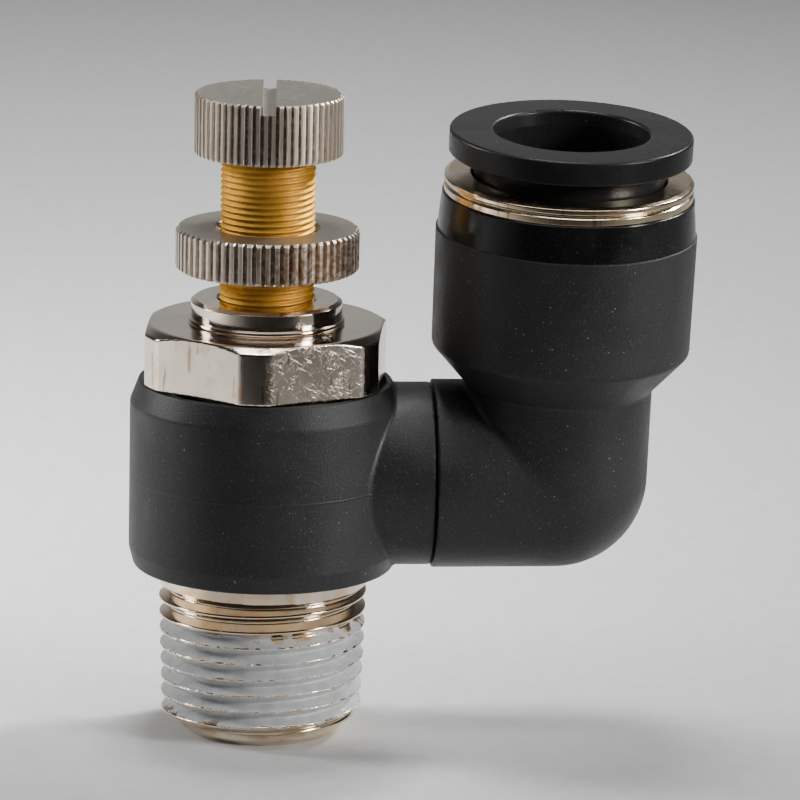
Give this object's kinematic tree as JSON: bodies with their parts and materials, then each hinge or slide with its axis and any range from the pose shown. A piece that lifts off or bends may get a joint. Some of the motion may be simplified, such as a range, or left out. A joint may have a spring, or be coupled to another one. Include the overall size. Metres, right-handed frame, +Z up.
{
  "type": "flow control valve",
  "caption": "One-way flow control valve: taper-threaded stem with a knurled needle knob and lock nut, a swivel barrel and a swivel elbow with a push-in tube head.",
  "frame": {"origin": "centre of the end face of the taper thread, on the stem's axis", "axes": "+Z up the stem from the thread to the knob, +X along the barrel's arm towards the elbow"},
  "size_m": [0.0457, 0.0231, 0.0529],
  "materials": {
    "nickel_plate": "nickel plated, worn bright",
    "bare_brass": "bare turned brass",
    "spring_steel": "bright spring steel",
    "matte_black_resin": "fine grained, glass filled",
    "gloss_black_resin": "polished",
    "satin_black_resin": "satin",
    "white_resin": "natural acetal",
    "black_rubber": "oiled nitrile"
  },
  "bodies": {
    "stem": {"threaded_stem": "nickel_plate", "needle_guide": "nickel_plate", "guide_oring": "black_rubber", "valve_seat": "bare_brass", "check_seal": "black_rubber", "upper_stem_oring": "black_rubber", "lower_stem_oring": "black_rubber", "stem_retaining_ring": "spring_steel"},
    "swivel": {"swivel_barrel": "matte_black_resin", "joint_sleeve": "bare_brass", "joint_oring": "black_rubber", "joint_retaining_ring": "spring_steel"},
    "elbow": {"elbow": "matte_black_resin", "head_cap": "gloss_black_resin", "guide_ring": "nickel_plate", "collet_housing": "white_resin", "lock_claws": "spring_steel", "seal_spacer": "white_resin", "tube_seal": "black_rubber"},
    "release": {"release_ring": "satin_black_resin"},
    "needle_seal": {"needle_oring": "black_rubber"},
    "needle": {"needle_spindle": "bare_brass", "adjusting_knob": "nickel_plate"},
    "lock_nut": {"lock_nut": "nickel_plate"}
  },
  "joints": [
    {"name": "barrel_swivel", "type": "hinge", "parent": "stem", "child": "swivel", "pos_m": [0, 0, 0.02135], "axis": [0, 0, 1], "continuous": true},
    {"name": "elbow_swivel", "type": "hinge", "parent": "swivel", "child": "elbow", "pos_m": [0.01357, 0, 0.02135], "axis": [1, 0, 0], "continuous": true},
    {"name": "release_push", "type": "slide", "parent": "elbow", "child": "release", "axis": [-0.0201, 0.0715, -0.9972], "range_m": [0, 0.0015], "stiffness_N_per_m": 500, "springref_m": -0.0005},
    {"name": "needle_travel", "type": "slide", "parent": "stem", "child": "needle_seal", "axis": [0, 0, 1], "range_m": [-0.005, 0.0005]},
    {"name": "needle_turn", "type": "hinge", "parent": "needle_seal", "child": "needle", "pos_m": [0, 0, 0.03], "axis": [0, 0, 1], "range_deg": [-3600, 360]},
    {"name": "lock_nut_travel", "type": "slide", "parent": "stem", "child": "lock_nut", "axis": [0, 0, 1], "range_m": [-0.0024, 0.001]}
  ],
  "couplings": [
    {"joint": "needle_travel", "follows": "needle_turn", "m_per_rad": 0.000079577}
  ]
}
